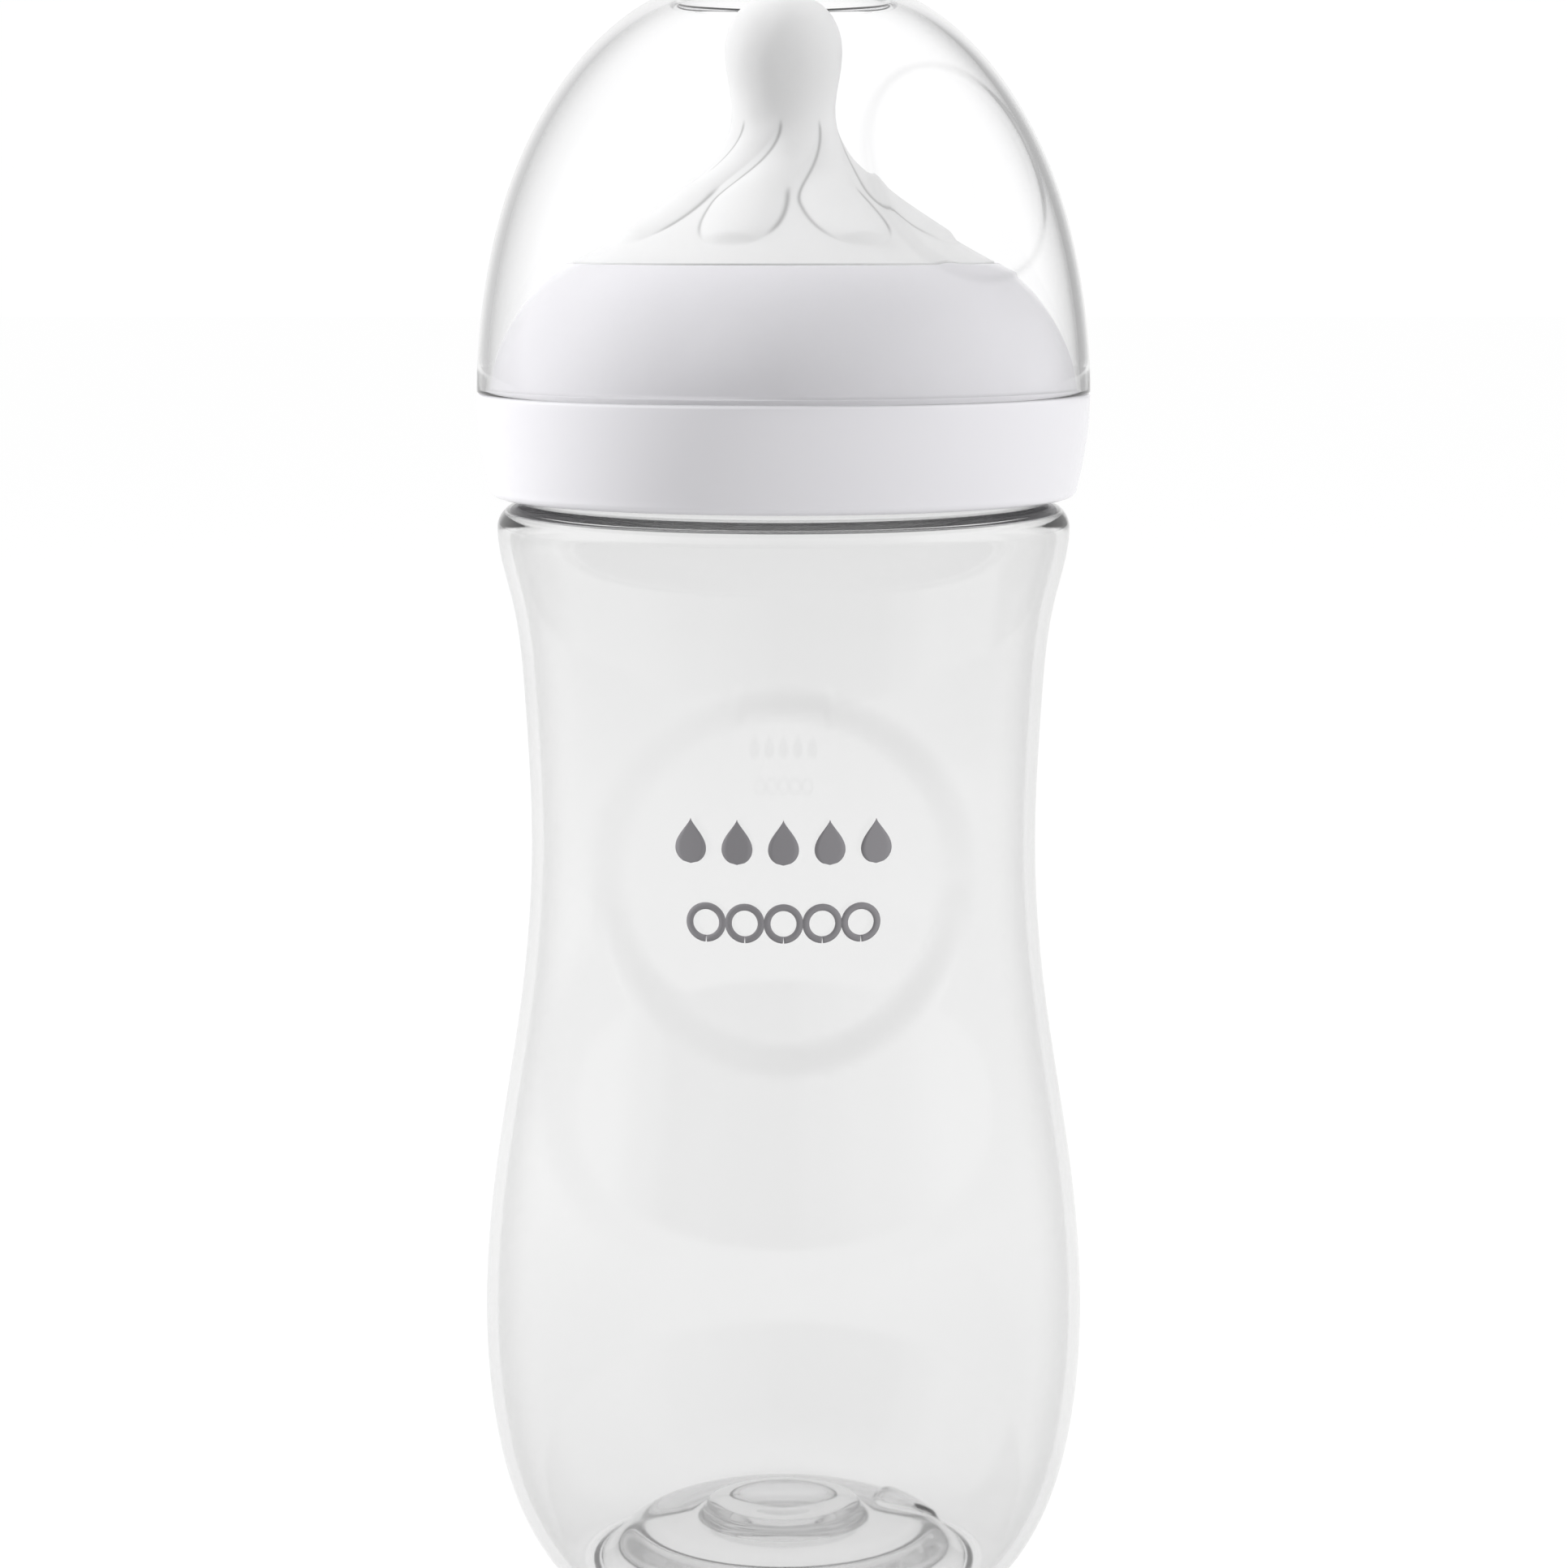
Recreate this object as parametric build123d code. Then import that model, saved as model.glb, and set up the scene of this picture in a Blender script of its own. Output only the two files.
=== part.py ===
"""A wide-neck baby bottle: a waisted clear bottle, a silicone teat, a screw ring and a domed cap.

Units are millimetres and +Z is up. The origin is on the axis, on the plane that the bottle stands on.
The front, with its pressed-in dish, faces -Y.
Every round outline is drawn as (radius, height) and then spun about Z.
"""
from build123d import *
from math import cos, radians, sin, sqrt
import os

# ---- bottle ----
STAND_OUTER = 24.4          # flat ring that the bottle stands on
STAND_INNER = 22.8
STAND_LEAN = (1, 0.3)       # direction in which the side leaves the standing ring
HEEL = (29.6, 5.0)
LOWER_BODY = (34.0, 18.0)
BELLY = (35.1, 33.0)        # widest part of the body
UPPER_BELLY = (33.7, 50.0)
FLANK = (30.6, 70.0)
WAIST = (29.3, 89.0)
CHEST = (29.9, 104.0)
UPPER_CHEST = (31.3, 116.0)
SHOULDER_RADIUS = 32.9
SHOULDER_TOP = 127.2
SHOULDER_ROUND = 2.9
BOTTLE_WALL = 1.3
NECK_RADIUS = 29.4          # outside of the neck, at the root of its thread
NECK_FILLET = SHOULDER_RADIUS - SHOULDER_ROUND - NECK_RADIUS
RIM_HEIGHT = 145.5
RIM_ROUND = 0.5

# ---- base of the bottle ----
FLOOR = 1.4                 # thickness of the base
PUSH_UP = 5.0               # height of the hollow under the base
PUSH_UP_BEND = (18.5, 3.3)
PUSH_UP_LEAN = (-0.6, 1)    # direction in which the hollow leaves the standing ring
BOSS_RADIUS = 9.2           # round boss in the middle of the base
BOSS_HEIGHT = 1.3
BOSS_DIMPLE = 0.7
BOSS_LEAN = (-1, 0.4)       # direction in which the boss's top leaves its edge
GATE_RADIUS = 4.5           # small round mark beside the boss
GATE_HEIGHT = 0.8
GATE_PLACE = (15.5, 7.0)

# ---- dish pressed into the front of the bottle ----
DISH_RADIUS = 19.6
DISH_HEIGHT = 87.4
DISH_DEPTH = 0.8

# ---- thread between neck and ring ----
LEAD = 6.0                  # rise in one turn, right-handed, single start
THREAD_DEPTH = 1.3
THREAD_ROOT = 2.2           # width where the thread meets its wall
THREAD_CREST = 1.0
THREAD_SINK = 0.3           # how far the thread is let into its wall
NECK_THREAD_START = 133.2   # height at which the neck's helix crosses +X
NECK_THREAD_ANGLE = 20      # where the ridge begins, from +X towards +Y
NECK_THREAD_TURNS = 1.25
RING_THREAD_ANGLE = 95
RING_THREAD_TURNS = 1.0
FLANK_GAP = 0.12
CREST_GAP = 0.3

# ---- screw ring ----
RING_BOTTOM = 127.9
RING_BOTTOM_RADIUS = 33.7
RING_BOTTOM_ROUND = 1.0
RING_BAND_MIDDLE = (34.75, 134.4)
RING_RADIUS = 35.1
LEDGE_HEIGHT = 139.7        # ledge that the cap stands on
COLLAR_RADIUS = 34.0
COLLAR_TOP = 140.35
DOME_CENTRE = (13.4, 137.2)
DOME_RADIUS = 20.5
DOME_WALL = 1.5
DOME_END_ANGLE = 57.3       # where the hole for the teat begins
RING_BORE = NECK_RADIUS + THREAD_DEPTH + CREST_GAP

# ---- teat ----
FIT = 0.1                   # gap between the teat and what holds it
TEAT_WALL = 1.6
TEAT_LIP = (24.1, 154.5)
TEAT_GROOVE_ANGLE = DOME_END_ANGLE + 0.5    # the ring's edge lies in this groove
TEAT_CONE = ((16.7, 158.75), (10.4, 163.2), (6.8, 167.5))
TEAT_NECK = (5.9, 171.4)
TEAT_BULB = (6.67, 178.3)
TEAT_TIP = 185.0
TIP_ROUND = (4.9, 182.95)
FEED_HOLE = 0.8             # diameter
TEAT_LEAN = (-1, 0.5)       # direction in which the cone leaves the lip
VENT_HOLE = 1.2             # diameter of the air vent in the skirt
VENT_RADIUS = 26.0

# ---- petals raised on the teat, each outline as (radius, azimuth in degrees) going up ----
PETALS = 8
PETAL_FOOT = (20.6, -17.5)
PETAL_LEFT = ((19.0, -30.0), (16.7, -35.5), (13.4, -38.0), (10.4, -32.0), (8.6, -22.0), (6.6, -7.0))
PETAL_RIGHT = ((19.0, -5.0), (16.7, 0.5), (13.4, 2.5), (10.4, 4.5), (8.6, 14.0), (6.6, 33.0))
PETAL_BULGES = (0.6, 0.6, 0.55, 0.15)       # height above the lip, the cone's points and the neck

# ---- domed cap ----
CAP_TOP = 187.3
CAP_CROWN = (15.0, 183.9)
CAP_UPPER = (25.0, 174.8)
CAP_MIDDLE = (31.5, 162.1)
CAP_LOWER = (34.15, 151.1)
CAP_WALL = 1.2
CAP_SEAT_GAP = 0.03
CAP_RELIEF = 1.1            # height of the widening that goes over the ring's collar
CAP_RIB_RADIUS = 12.5       # rib under the crown
CAP_RIB_WIDTH = 0.9
CAP_RIB_FOOT = 182.7        # height of the rib's lower edge
CAP_DISC_RADIUS = 13.0      # round panel pressed into the cap's side
CAP_DISC_HEIGHT = 165.7
CAP_DISC_AZIMUTH = 42.7     # from the front, towards +X
CAP_DISC_TILT = 22.0
CAP_DISC_DEPTH = 0.35


def spin(*edges):
    """Turn a closed outline of (radius, height) edges about the axis."""
    return revolve(Plane.XZ * make_face(Curve() + list(edges)), Axis.Z)


def flow(points, start, end):
    """A smooth curve through points, leaving the first and reaching the last in set directions."""
    return Spline(*points, tangents=(start, end), tangent_scalars=(1, 1))


def inset(curve, depth, steps=24):
    """Return the curve that runs beside an outline, to its left as it is drawn."""
    points = []
    for step in range(steps + 1):
        along = curve % (step / steps)
        points.append(curve @ (step / steps) + Vector(-along.Y, along.X) * depth)
    return flow(points, curve % 0, curve % 1)


def body_curve():
    """The side of the bottle, from its standing ring up to the widest point of the shoulder."""
    top = (SHOULDER_RADIUS, SHOULDER_TOP - SHOULDER_ROUND)
    points = [(STAND_OUTER, 0), HEEL, LOWER_BODY, BELLY, UPPER_BELLY, FLANK, WAIST]
    points += [CHEST, UPPER_CHEST, top]
    return flow(points, STAND_LEAN, (0, 1))


def body_core(depth):
    """The space inside the body, its side `depth` in from the outer surface."""
    side = inset(body_curve(), depth)
    bottom, top = side @ 0, side @ 1
    return spin(side, Line(top, (0, top.Y)), Line((0, top.Y), (0, bottom.Y)),
                Line((0, bottom.Y), bottom))


def neck_outline(depth):
    """Shoulder and neck edges, `depth` in from the outer surface, up to the rim's rounding."""
    middle = SHOULDER_RADIUS - SHOULDER_ROUND
    shoulder_centre = (middle, SHOULDER_TOP - SHOULDER_ROUND)
    fillet_centre = (middle, SHOULDER_TOP + NECK_FILLET)
    shoulder = CenterArc(shoulder_centre, SHOULDER_ROUND - depth, 0, 90)
    bend = CenterArc(fillet_centre, NECK_FILLET + depth, 180, 90)
    neck = Line(bend @ 0, (NECK_RADIUS - depth, RIM_HEIGHT - RIM_ROUND))
    return [shoulder, bend, neck]


def trapezoid_thread(wall_radius, outward, start_height, start_angle, turns):
    """A helical ridge on a round wall, facing outward (+1) or inward (-1)."""
    taper = (THREAD_ROOT - THREAD_CREST) / 2 / THREAD_DEPTH
    crest = wall_radius + outward * THREAD_DEPTH
    sunk = wall_radius - outward * THREAD_SINK
    tip = THREAD_CREST / 2
    spread = THREAD_ROOT / 2 + taper * THREAD_SINK
    outline = Polyline((sunk, -spread), (crest, -tip), (crest, tip), (sunk, spread), close=True)
    section = Plane.XZ * make_face(outline)
    path = Helix(pitch=LEAD, height=LEAD * turns, radius=wall_radius)
    ridge = sweep(section, path=path, is_frenet=True)
    height = start_height + LEAD * start_angle / 360
    return Pos(0, 0, height) * Rot(0, 0, start_angle) * ridge


def front_dish(depth):
    """The material to take off the front of a body whose side is `depth` in."""
    length = SHOULDER_RADIUS
    drill = Pos(0, -length, DISH_HEIGHT) * Rot(90, 0, 0) * Cylinder(DISH_RADIUS, length)
    return drill - body_core(depth + DISH_DEPTH)


def make_bottle():
    round_height = RIM_HEIGHT - RIM_ROUND
    rim = CenterArc((NECK_RADIUS - RIM_ROUND, round_height), RIM_ROUND, 0, 90)
    outer = spin(body_curve(), *neck_outline(0), rim, Line(rim @ 1, (0, RIM_HEIGHT)),
                 Line((0, RIM_HEIGHT), (0, 0)), Line((0, 0), (STAND_OUTER, 0)))
    outer -= front_dish(0)

    under = flow([(STAND_INNER, 0), PUSH_UP_BEND, (BOSS_RADIUS, PUSH_UP)], PUSH_UP_LEAN, (-1, 0))
    hollow = spin(under, Line((BOSS_RADIUS, PUSH_UP), (0, PUSH_UP)), Line((0, PUSH_UP), (0, 0)),
                  Line((0, 0), (STAND_INNER, 0)))

    side = inset(body_curve(), BOTTLE_WALL)
    floor_edge = (BOSS_RADIUS + BOSS_HEIGHT, PUSH_UP + FLOOR)
    floor_bend = (PUSH_UP_BEND[0], PUSH_UP_BEND[1] + FLOOR)
    floor = flow([floor_edge, floor_bend, side @ 0], (1, 0), side % 0)
    boss_top = PUSH_UP + FLOOR + BOSS_HEIGHT
    boss_side = CenterArc((floor_edge[0], boss_top), BOSS_HEIGHT, 180, 90)
    dimple = flow([(BOSS_RADIUS, boss_top), (0, boss_top - BOSS_DIMPLE)], BOSS_LEAN, (-1, 0))
    flare = CenterArc((NECK_RADIUS - BOTTLE_WALL + RIM_ROUND, round_height), RIM_ROUND, 180, -90)
    cavity = spin(side, *neck_outline(BOTTLE_WALL), flare, Line(flare @ 1, (0, RIM_HEIGHT)),
                  Line((0, RIM_HEIGHT), (0, boss_top - BOSS_DIMPLE)), dimple, boss_side, floor)
    cavity -= front_dish(BOTTLE_WALL)

    gate = Pos(*GATE_PLACE, PUSH_UP + FLOOR / 2) * Cylinder(GATE_RADIUS, FLOOR + GATE_HEIGHT)
    thread = trapezoid_thread(NECK_RADIUS, 1, NECK_THREAD_START, NECK_THREAD_ANGLE, NECK_THREAD_TURNS)
    return outer - hollow - cavity + thread + (gate - hollow)


def dome_point(radius, angle):
    """A point at an angle above the horizontal, on an arc about the dome's centre."""
    return (DOME_CENTRE[0] + radius * cos(radians(angle)), DOME_CENTRE[1] + radius * sin(radians(angle)))


def dome_arc(radius, start_height, end_angle):
    """An arc about the dome's centre, from a height up to an angle."""
    start = (DOME_CENTRE[0] + sqrt(radius ** 2 - (start_height - DOME_CENTRE[1]) ** 2), start_height)
    return RadiusArc(start, dome_point(radius, end_angle), -radius)


def make_screw_ring():
    corner = (RING_BOTTOM_RADIUS, RING_BOTTOM + RING_BOTTOM_ROUND)
    foot = (RING_BOTTOM_RADIUS - RING_BOTTOM_ROUND, RING_BOTTOM)
    dome = dome_arc(DOME_RADIUS, COLLAR_TOP, DOME_END_ANGLE)
    inner_radius = DOME_RADIUS - DOME_WALL
    bore_top = DOME_CENTRE[1] + sqrt(inner_radius ** 2 - (RING_BORE - DOME_CENTRE[0]) ** 2)
    under = dome_arc(inner_radius, bore_top, DOME_END_ANGLE)
    ring = spin(
        RadiusArc(foot, corner, -RING_BOTTOM_ROUND),
        ThreePointArc(corner, RING_BAND_MIDDLE, (RING_RADIUS, LEDGE_HEIGHT)),
        Line((RING_RADIUS, LEDGE_HEIGHT), (COLLAR_RADIUS, LEDGE_HEIGHT)),
        Line((COLLAR_RADIUS, LEDGE_HEIGHT), (COLLAR_RADIUS, COLLAR_TOP)),
        Line((COLLAR_RADIUS, COLLAR_TOP), dome @ 0),
        dome,
        Line(dome @ 1, under @ 1),
        under,
        Line(under @ 0, (RING_BORE, RING_BOTTOM)),
        Line((RING_BORE, RING_BOTTOM), foot),
    )
    # The ring's thread runs just under the neck's, so that turning the ring down clamps the teat.
    covered = THREAD_DEPTH + CREST_GAP
    taper = (THREAD_ROOT - THREAD_CREST) / 2 / THREAD_DEPTH
    drop = THREAD_ROOT - taper * covered + FLANK_GAP
    thread = trapezoid_thread(RING_BORE, -1, NECK_THREAD_START - drop, RING_THREAD_ANGLE,
                              RING_THREAD_TURNS)
    return ring + thread


def cone_under(curve, floor):
    """The solid between a curve that rises towards the axis and a level floor."""
    foot, top = curve @ 0, curve @ 1
    return spin(curve, Line(top, (0, top.Y)), Line((0, top.Y), (0, floor)),
                Line((0, floor), (foot.X, floor)), Line((foot.X, floor), foot))


def make_petals():
    """Shallow swirling petals on the outside of the teat's cone, rooted halfway into its wall."""
    cone = (TEAT_LIP, *TEAT_CONE)
    raised = [(radius, height + bulge) for (radius, height), bulge in zip(cone, PETAL_BULGES)]
    rooted = [(radius, height - TEAT_WALL / 2) for radius, height in cone]
    above = cone_under(flow([*raised, TEAT_NECK], TEAT_LEAN, (0, 1)), SHOULDER_TOP)
    below = cone_under(flow(rooted, TEAT_LEAN, (-0.4, 1)), SHOULDER_TOP)

    places = [*PETAL_LEFT[::-1], PETAL_FOOT, *PETAL_RIGHT]
    turned = [(radius, radians(azimuth)) for radius, azimuth in places]
    edge = Spline(*[(radius * sin(angle), -radius * cos(angle)) for radius, angle in turned])
    leaf = make_face(Curve() + [edge, Line(edge @ 1, edge @ 0)])
    column = Pos(0, 0, SHOULDER_TOP) * extrude(leaf, TEAT_TIP - SHOULDER_TOP, dir=(0, 0, 1))
    petal = (above & column) - below
    return [Rot(0, 0, 360 * turn / PETALS) * petal for turn in range(PETALS)]


def make_teat():
    skirt_radius = DOME_RADIUS - DOME_WALL - FIT
    flange_height = RIM_HEIGHT + FIT
    skirt = dome_arc(skirt_radius, flange_height, TEAT_GROOVE_ANGLE)
    outside = flow([TEAT_LIP, *TEAT_CONE, TEAT_NECK, TEAT_BULB, TIP_ROUND, (0, TEAT_TIP)],
                   TEAT_LEAN, (-1, 0))
    lining = dome_arc(skirt_radius - TEAT_WALL, flange_height, DOME_END_ANGLE)
    inside = inset(outside, TEAT_WALL)
    teat = spin(
        outside,
        Line((0, TEAT_TIP), inside @ 1),
        inside,
        Line(inside @ 0, lining @ 1),
        lining,
        Line(lining @ 0, skirt @ 0),
        skirt,
        Line(skirt @ 1, TEAT_LIP),
    )
    feed_hole = Pos(0, 0, TEAT_TIP) * Cylinder(FEED_HOLE / 2, 4 * TEAT_WALL)
    vent = Pos(0, VENT_RADIUS, RIM_HEIGHT) * Cylinder(VENT_HOLE / 2, RIM_HEIGHT / 4)
    return teat + make_petals() - feed_hole - vent


def make_dome_cap():
    bottom = LEDGE_HEIGHT + CAP_SEAT_GAP
    shell = flow([(RING_RADIUS, bottom), CAP_LOWER, CAP_MIDDLE, CAP_UPPER, CAP_CROWN, (0, CAP_TOP)],
                 (0, 1), (-1, 0))
    cavity = inset(shell, CAP_WALL)
    edge = cavity @ 0
    cap = spin(shell, Line((0, CAP_TOP), cavity @ 1), cavity, Line(edge, (RING_RADIUS, bottom)))

    wide = COLLAR_RADIUS + 2 * FIT
    relief = Pos(0, 0, bottom) * Cylinder(wide, 2 * CAP_RELIEF)
    rib = Cylinder(CAP_RIB_RADIUS + CAP_RIB_WIDTH / 2, CAP_TOP)
    rib -= Cylinder(CAP_RIB_RADIUS - CAP_RIB_WIDTH / 2, CAP_TOP)
    rib = Pos(0, 0, CAP_RIB_FOOT + CAP_TOP / 2) * rib
    crown = spin(shell, Line((0, CAP_TOP), (0, bottom)), Line((0, bottom), (RING_RADIUS, bottom)))
    rib &= crown

    azimuth, tilt = radians(CAP_DISC_AZIMUTH), radians(CAP_DISC_TILT)
    out = Vector(sin(azimuth) * cos(tilt), -cos(azimuth) * cos(tilt), sin(tilt))
    spoke = Vector(sin(azimuth), -cos(azimuth), 0)
    centre = spoke * CAP_MIDDLE[0] + Vector(0, 0, CAP_DISC_HEIGHT)
    floor = inset(shell, CAP_DISC_DEPTH)
    core = spin(floor, Line(floor @ 1, (0, bottom)), Line((0, bottom), floor @ 0))
    panel = Plane(origin=centre, z_dir=out) * Cylinder(CAP_DISC_RADIUS, CAP_DISC_RADIUS)
    return cap - relief + rib - (panel - core)


os.makedirs("parts", exist_ok=True)
NODES = {
    "bottle": make_bottle(),
    "teat": make_teat(),
    "screw_ring": make_screw_ring(),
    "dome_cap": make_dome_cap(),
}
for name, node in NODES.items():
    export_step(node, f"parts/{name}.step")
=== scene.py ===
"""Looks for a closed baby bottle.

It has a clear waisted body, a petalled silicone teat, a white screw ring and a clear domed cap.

Outlines are drawn in millimetres as (radius, height) and turned about Z; meshes are made in metres.
The front, with the pressed dish and the printed mark, faces -Y.
"""
from math import cos, hypot, pi, radians, sin, sqrt

import bpy
import numpy as np
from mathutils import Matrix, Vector


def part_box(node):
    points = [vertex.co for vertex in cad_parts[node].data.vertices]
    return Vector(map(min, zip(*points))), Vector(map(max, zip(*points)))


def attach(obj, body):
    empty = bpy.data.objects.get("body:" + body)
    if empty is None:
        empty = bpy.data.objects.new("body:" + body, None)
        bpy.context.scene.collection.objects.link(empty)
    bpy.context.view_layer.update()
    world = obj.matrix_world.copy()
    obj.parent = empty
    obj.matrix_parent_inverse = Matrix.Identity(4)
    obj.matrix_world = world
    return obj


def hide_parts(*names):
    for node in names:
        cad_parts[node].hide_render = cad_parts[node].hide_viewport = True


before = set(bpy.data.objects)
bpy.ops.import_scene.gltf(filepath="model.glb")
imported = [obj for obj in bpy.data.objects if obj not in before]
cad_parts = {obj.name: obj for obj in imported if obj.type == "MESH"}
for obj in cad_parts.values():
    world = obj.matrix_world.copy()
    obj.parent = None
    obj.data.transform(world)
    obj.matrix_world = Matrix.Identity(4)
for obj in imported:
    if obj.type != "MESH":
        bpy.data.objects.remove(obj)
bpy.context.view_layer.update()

MM = 0.001

# ---- sizes read from the frame, in millimetres ----
_, bottle_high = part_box("bottle")
ring_low, ring_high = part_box("screw_ring")
teat_low, teat_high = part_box("teat")
cap_low, cap_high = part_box("dome_cap")
RIM_HEIGHT = bottle_high.z / MM
RING_BOTTOM = ring_low.z / MM
RING_RADIUS = ring_high.x / MM
TEAT_TIP = teat_high.z / MM
FLANGE_HEIGHT = teat_low.z / MM
CAP_BOTTOM = cap_low.z / MM
CAP_TOP = cap_high.z / MM

# ---- bottle ----
STAND_OUTER = 24.4
STAND_INNER = 22.8
BODY_SIDE = [(29.6, 5.0), (34.0, 18.0), (35.1, 33.0), (33.7, 50.0), (30.6, 70.0),
             (29.3, 89.0), (29.9, 104.0), (31.3, 116.0)]
SHOULDER_RADIUS = 32.9
SHOULDER_TOP = 127.2
SHOULDER_ROUND = 2.9
INNER_SHOULDER_ROUND = 0.8
BOTTLE_WALL = 1.3
NECK_RADIUS = 29.4
NECK_FILLET = SHOULDER_RADIUS - SHOULDER_ROUND - NECK_RADIUS
RIM_ROUND = 0.5
FLOOR = 1.4
PUSH_UP = 5.0
PUSH_UP_BEND = (18.5, 3.3)
BOSS_RADIUS = 9.2
BOSS_HEIGHT = 1.3
BOSS_DIMPLE = 0.7
GATE_RADIUS = 4.5
GATE_HEIGHT = 0.6
GATE_PLACE = (15.5, 7.0)
DISH_HEIGHT = 87.4
DISH_FLOOR_RADIUS = 17.5    # the dish slopes from its rim down to its floor
DISH_RIM_RADIUS = 21.8
DISH_DEPTH = 0.8

# ---- thread ----
LEAD = 6.0
THREAD_DEPTH = 1.3
THREAD_ROOT = 2.2
THREAD_CREST = 1.0
THREAD_TURNS = {"neck": 1.25, "ring": 1.0}
THREAD_ANGLE = {"neck": 20.0, "ring": 95.0}
THREAD_START = {"neck": 133.2, "ring": 133.2 - 1.582}
THREAD_FADE = 14.0          # degrees over which each end of the ridge rises

# ---- screw ring ----
RING_BOTTOM_RADIUS = 33.7
RING_BOTTOM_ROUND = 1.0
RING_BAND_MIDDLE = (34.75, 134.4)
LEDGE_HEIGHT = 139.7
LEDGE_ROUND = 0.4
COLLAR_RADIUS = 34.0
COLLAR_TOP = 140.35
DOME_CENTRE = (13.4, 137.2)
DOME_RADIUS = 20.5
DOME_WALL = 1.5
DOME_END_ANGLE = 57.3
CREST_GAP = 0.3
RING_BORE = NECK_RADIUS + THREAD_DEPTH + CREST_GAP

# ---- teat ----
FIT = 0.1
TEAT_WALL = 1.6
TEAT_LIP = (24.1, 154.5)
TEAT_SIDE = [(16.7, 158.75), (10.4, 163.2), (6.8, 167.5), (5.9, 171.4), (6.67, 178.3), (4.9, 182.95)]
TEAT_GROOVE_ANGLE = DOME_END_ANGLE + 0.5
FEED_HOLE = 0.8
PETALS = 8
PETAL_BULGE = 0.8
PETAL_MIDDLE = -17.5        # azimuth of the first petal's rounded lower end, from the front
PETAL_LEFT = (-38.0, 35.0)  # azimuth of its left edge at the foot, and how far it turns on its way up
PETAL_RIGHT = (2.5, 37.0)   # the same for its right edge
PETAL_END = (163.0, 6.7)    # height at which the lower end begins to round, and its length

# ---- domed cap ----
CAP_SIDE = [(34.15, 151.1), (31.5, 162.1), (25.0, 174.8), (15.0, 183.9)]
CAP_WALL = 1.2
CAP_RELIEF = 1.1
CAP_RIB_RADIUS = 12.5
CAP_RIB_WIDTH = 0.9
CAP_RIB_DROP = 0.12
CAP_DISC_RADIUS = 13.0
CAP_DISC_SLOPE = 1.1
CAP_DISC_HEIGHT = 165.7
CAP_DISC_AZIMUTH = 42.7
CAP_DISC_TILT = 22.0
CAP_DISC_DEPTH = 0.08


# ======================= outlines =======================

def unit(vector):
    vector = np.array(vector, float)
    return vector / np.linalg.norm(vector)


def flow(points, start, end, spacing=0.8):
    """A smooth curve through points that leaves and arrives in set directions, sampled evenly."""
    p = np.array(points, float)
    gaps = np.linalg.norm(np.diff(p, axis=0), axis=1)
    size = len(p)
    matrix = np.eye(size)
    right = np.zeros((size, 2))
    right[0], right[-1] = unit(start), unit(end)
    for i in range(1, size - 1):
        before, after = gaps[i - 1], gaps[i]
        matrix[i, i - 1:i + 2] = after, 2 * (before + after), before
        right[i] = 3 * (after * (p[i] - p[i - 1]) / before + before * (p[i + 1] - p[i]) / after)
    slopes = np.linalg.solve(matrix, right)
    pieces = []
    for i, gap in enumerate(gaps):
        steps = max(2, round(gap / spacing))
        t = (np.arange(steps) / steps)[:, None]
        pieces.append((2 * t ** 3 - 3 * t ** 2 + 1) * p[i] + (t ** 3 - 2 * t ** 2 + t) * gap * slopes[i]
                      + (3 * t ** 2 - 2 * t ** 3) * p[i + 1] + (t ** 3 - t ** 2) * gap * slopes[i + 1])
    return np.vstack(pieces + [p[-1:]])


def arc(centre, radius, start, end, steps=8):
    """Points on an arc between two angles in degrees."""
    angles = np.radians(np.linspace(start, end, steps + 1))
    return np.stack([centre[0] + radius * np.cos(angles), centre[1] + radius * np.sin(angles)], axis=1)


def line(start, end, spacing=0.8):
    """Evenly spaced points on a straight line."""
    steps = max(1, round(hypot(end[0] - start[0], end[1] - start[1]) / spacing))
    return np.linspace(start, end, steps + 1)


def inset(curve, depth):
    """The curve that runs beside another, to its left."""
    along = np.gradient(curve, axis=0)
    along /= np.linalg.norm(along, axis=1)[:, None]
    return curve + np.stack([-along[:, 1], along[:, 0]], axis=1) * depth


def chain(*pieces):
    """Join curves end to end, dropping points that repeat."""
    points = np.vstack([np.atleast_2d(np.array(piece, float)) for piece in pieces])
    keep = [0]
    for i in range(1, len(points)):
        if np.linalg.norm(points[i] - points[keep[-1]]) > 1e-4:
            keep.append(i)
    return points[keep]


def smoothstep(low, high, value):
    t = np.clip((value - low) / (high - low), 0, 1)
    return t * t * (3 - 2 * t)


# ======================= meshes =======================

def make_object(name, vertices, faces, material):
    """A mesh object from points in millimetres, its faces turned outward."""
    mesh = bpy.data.meshes.new(name)
    mesh.from_pydata((vertices * MM).tolist(), [], faces)
    mesh.validate()
    mesh.polygons.foreach_set("use_smooth", [True] * len(mesh.polygons))
    mesh.materials.append(material)
    mesh.update()
    obj = bpy.data.objects.new(name, mesh)
    bpy.context.scene.collection.objects.link(obj)
    return obj


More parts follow.
